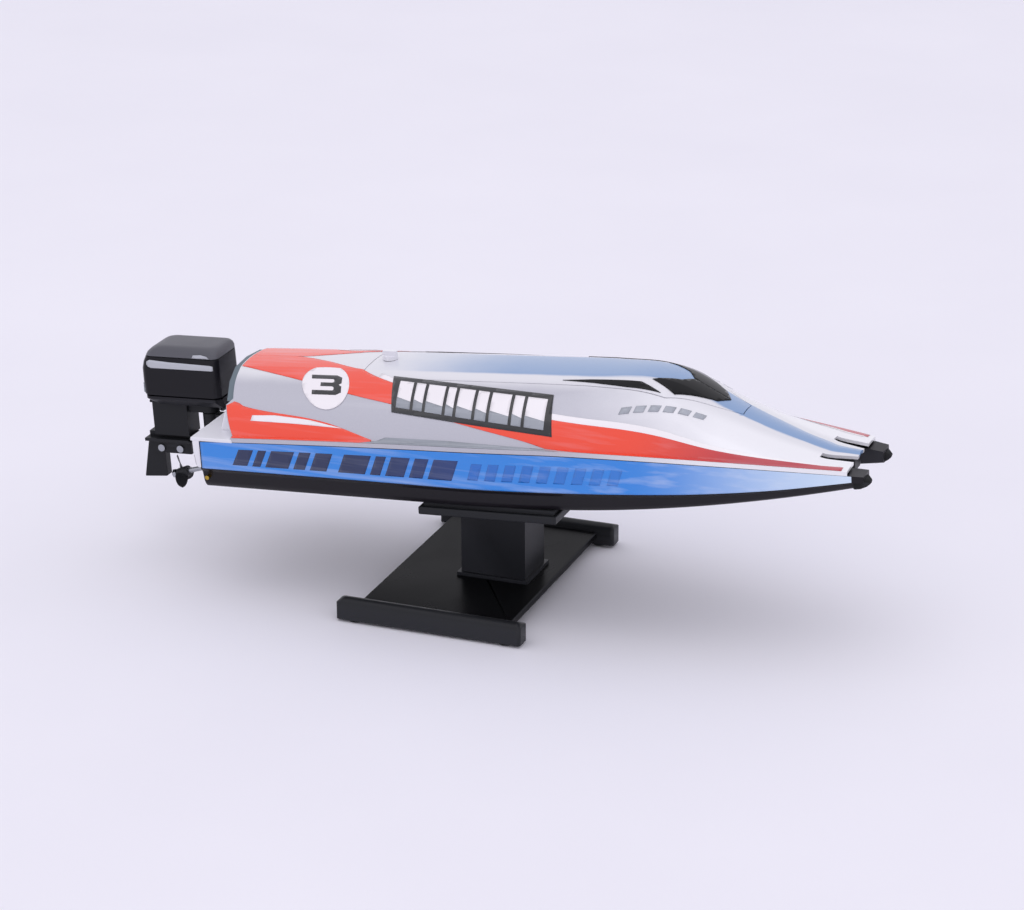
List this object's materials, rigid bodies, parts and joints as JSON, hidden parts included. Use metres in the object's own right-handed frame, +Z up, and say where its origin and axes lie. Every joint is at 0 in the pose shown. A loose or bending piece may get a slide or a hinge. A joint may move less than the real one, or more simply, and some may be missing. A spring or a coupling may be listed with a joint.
{
  "type": "rc boat",
  "caption": "Tunnel-hull racing boat with canopy hatch and steering outboard over a single propeller, resting bow-up on a pedestal display stand.",
  "frame": {"origin": "on the table, under the middle of the whole object's length and width", "axes": "+X towards the bow, +Y to port, +Z up"},
  "size_m": [0.4377, 0.161, 0.1401],
  "materials": {
    "black_abs": "moulded, fine texture",
    "rail_abs": "moulded, satin",
    "white_abs": "painted and lacquered",
    "blue_film": "printed film",
    "canopy_paint": "painted",
    "smoked_glass": "gloss",
    "rubber": "moulded",
    "foam": "foam",
    "steel": "turned",
    "brass": "turned",
    "knob_abs": "moulded",
    "grey_abs": "moulded",
    "cowl_abs": "moulded, gloss",
    "stripe_film": "printed film",
    "cell_wrap": "heat shrink",
    "wire": "insulated",
    "board": "circuit board",
    "servo_abs": "moulded",
    "nylon": "moulded nylon",
    "red_abs": "moulded"
  },
  "bodies": {
    "stand": {"base_plate": "black_abs", "foot_rail_starboard": "rail_abs", "foot_rail_port": "rail_abs", "rubber_feet": "rubber", "pedestal": "rail_abs", "cradle_tray": "black_abs", "cradle_pads": "foam", "stand_screws": "steel"},
    "hatch": {"hatch_cover": "canopy_paint", "hatch_pegs": "steel", "windscreen": "smoked_glass", "side_windows": "smoked_glass"},
    "lock": {"lock_knob": "knob_abs"},
    "switch": {"switch_slider": "red_abs"},
    "drive": {"motor_rotor": "brass", "shaft_coupling": "red_abs", "propeller_shaft": "steel", "propeller": "cowl_abs", "propeller_nut": "steel"},
    "horn": {"servo_horn": "nylon", "horn_screw": "steel"},
    "rod": {"steering_rod": "steel"},
    "outboard": {"motor_cowl": "cowl_abs", "cowl_lid": "rail_abs", "cowl_pan": "black_abs", "cowl_stripes": "stripe_film", "cowl_latch": "grey_abs", "outboard_leg": "black_abs", "rudder_blade": "black_abs", "swivel_pin": "steel", "tiller_pin": "steel", "leg_screws": "steel"},
    "hull": {"lower_hull": "black_abs", "deck_shell": "white_abs", "flank_sticker_starboard": "blue_film", "flank_sticker_port": "blue_film", "bow_bumpers": "black_abs", "rear_bulkhead": "grey_abs", "hatch_seal": "foam", "hatch_socket": "grey_abs", "battery_tray": "grey_abs", "battery_pack": "cell_wrap", "battery_strap": "grey_abs", "battery_lead": "wire", "control_board": "board", "antenna_wire": "rubber", "switch_body": "grey_abs", "steering_servo": "servo_abs", "servo_screws": "steel", "motor_can": "steel", "motor_mount": "grey_abs", "stuffing_tube": "brass", "shaft_bushes": "brass", "shaft_strut": "black_abs", "rod_boot": "rubber", "clamp_bracket": "black_abs", "bracket_bolts": "steel", "drain_plug": "black_abs", "hull_screws": "steel", "water_contacts": "brass"}
  },
  "joints": [
    {"name": "boat_lift", "type": "slide", "parent": "stand", "child": "hull", "axis": [0, 0, 1], "range_m": [0, 0.06]},
    {"name": "hatch_lift", "type": "slide", "parent": "hull", "child": "hatch", "axis": [-0.061, 0, 0.9981], "range_m": [0, 0.04]},
    {"name": "lock_turn", "type": "hinge", "parent": "hatch", "child": "lock", "pos_m": [-0.06346, 0, 0.12556], "axis": [-0.061, 0, 0.9981], "range_deg": [0, 90]},
    {"name": "switch_slide", "type": "slide", "parent": "hull", "child": "switch", "axis": [0.9981, 0, 0.061], "range_m": [0, 0.005]},
    {"name": "propeller_spin", "type": "hinge", "parent": "hull", "child": "drive", "pos_m": [-0.1965, 0, 0.04028], "axis": [0.9483, 0, 0.3173], "continuous": true},
    {"name": "outboard_steer", "type": "hinge", "parent": "hull", "child": "outboard", "pos_m": [-0.1755, 0, 0.07362], "axis": [-0.061, 0, 0.9981], "range_deg": [-25, 25]},
    {"name": "horn_turn", "type": "hinge", "parent": "hull", "child": "horn", "pos_m": [-0.11404, 0, 0.0844], "axis": [-0.061, 0, 0.9981], "range_deg": [-25, 25]},
    {"name": "rod_turn", "type": "hinge", "parent": "horn", "child": "rod", "pos_m": [-0.11389, 0.014, 0.0819], "axis": [-0.061, 0, 0.9981], "range_deg": [-25, 25]}
  ],
  "couplings": [
    {"joint": "horn_turn", "follows": "outboard_steer", "ratio": 1},
    {"joint": "rod_turn", "follows": "outboard_steer", "ratio": -1}
  ]
}
